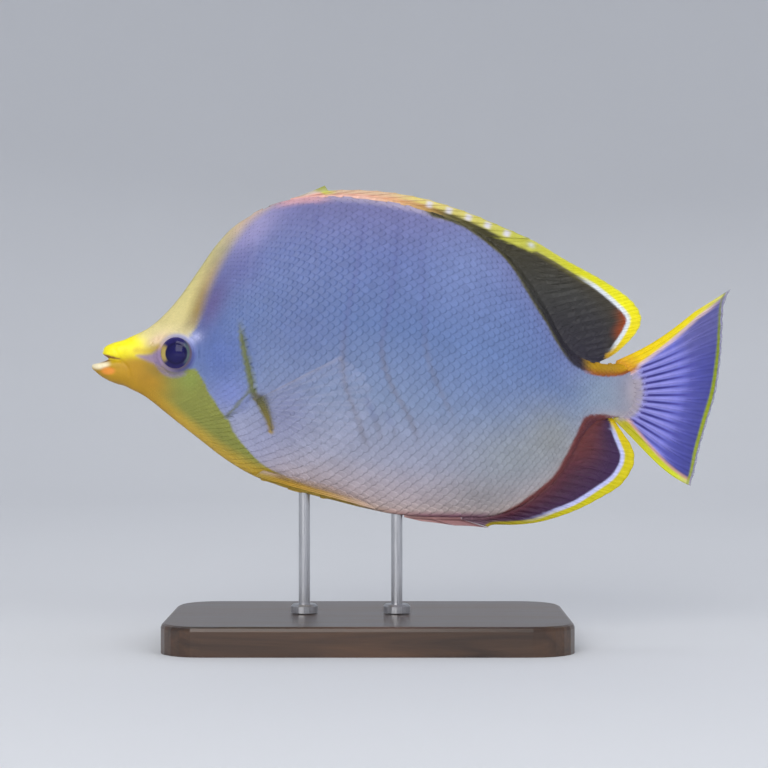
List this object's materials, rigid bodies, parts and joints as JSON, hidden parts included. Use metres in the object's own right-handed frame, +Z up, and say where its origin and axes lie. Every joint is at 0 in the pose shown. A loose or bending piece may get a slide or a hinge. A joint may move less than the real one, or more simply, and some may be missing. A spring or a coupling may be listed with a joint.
{
  "type": "yellowhead butterflyfish",
  "caption": "Life-size still model of a reef fish with a tall flat body, yellow snout and rounded dark fins, held level on two rods over a flat base.",
  "frame": {"origin": "on the plane of the display base's underside, under the middle of the fish's whole length, snout to tail; the base's own middle lies 12 mm nearer the head", "axes": "+Z up; -X the way the fish looks, +X towards its tail; the fish's left flank faces -Y and its right flank +Y"},
  "size_m": [0.18, 0.07, 0.1285],
  "materials": {
    "fish_skin": "satin, with small overlapping scales",
    "yellow_lips": "smooth, moist",
    "eyes": "polished",
    "pale_fins": "satin, ribbed by spines",
    "dark_fins": "satin, ribbed by rays",
    "tail_fin": "satin, ribbed by rays",
    "clear_fins": "thin and see-through, ribbed by rays",
    "base_wood": "satin lacquer",
    "rod_steel": "brushed"
  },
  "bodies": {
    "root": {"head": "fish_skin", "trunk": "fish_skin", "tail_stalk": "fish_skin", "gill_cover_left": "fish_skin", "gill_cover_right": "fish_skin", "upper_jaw": "yellow_lips", "lower_jaw": "yellow_lips", "eye_left": "eyes", "eye_right": "eyes", "dorsal_fin_spiny": "pale_fins", "anal_fin_spiny": "pale_fins", "pelvic_fin_left": "pale_fins", "pelvic_fin_right": "pale_fins", "dorsal_fin_soft": "dark_fins", "anal_fin_soft": "dark_fins", "caudal_fin": "tail_fin", "pectoral_fin_left": "clear_fins", "pectoral_fin_right": "clear_fins", "stand_base": "base_wood", "stand_rod_front": "rod_steel", "stand_rod_rear": "rod_steel"}
  },
  "joints": []
}
